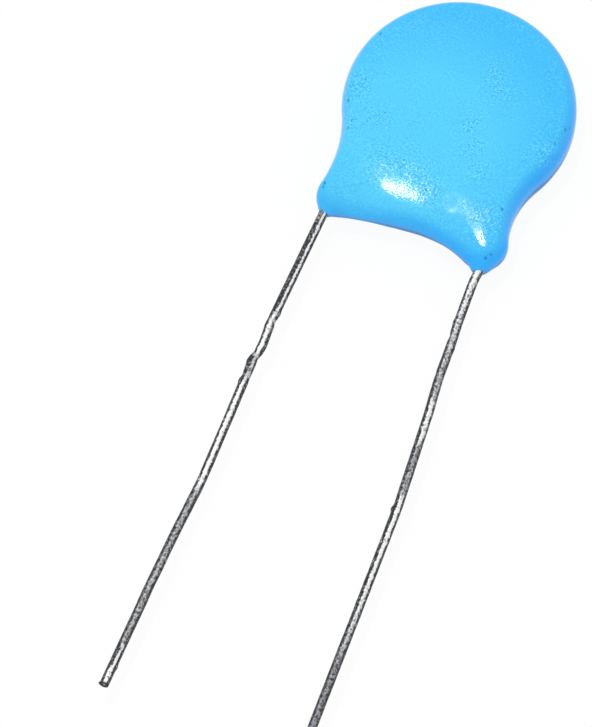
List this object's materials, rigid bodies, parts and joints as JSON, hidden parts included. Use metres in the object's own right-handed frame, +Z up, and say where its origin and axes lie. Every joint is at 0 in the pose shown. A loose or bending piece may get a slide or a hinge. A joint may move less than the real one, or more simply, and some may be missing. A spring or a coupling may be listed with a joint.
{
  "type": "ceramic disc capacitor",
  "caption": "Ceramic disc capacitor: round blue dipped body with a thinned skirt and rounded feet, and long tinned wire leads that go through a circuit board.",
  "frame": {"origin": "middle of the flat back of the coating, under the centre of the disc", "axes": "+Z up along the disc's axis as the part lies on its back, -Y along the leads towards their cut ends, +X across the leads"},
  "size_m": [0.0147, 0.0505, 0.0034],
  "materials": {
    "blue_coating": "gloss with a fine orange peel",
    "fired_ceramic": "matte",
    "fired_silver": "satin",
    "solder": "satin",
    "tinned_wire": "dull tin"
  },
  "bodies": {
    "root": {"epoxy_coating": "blue_coating", "ceramic_disc": "fired_ceramic", "front_electrode": "fired_silver", "back_electrode": "fired_silver", "front_solder": "solder", "back_solder": "solder", "left_lead": "tinned_wire", "right_lead": "tinned_wire"}
  },
  "joints": []
}
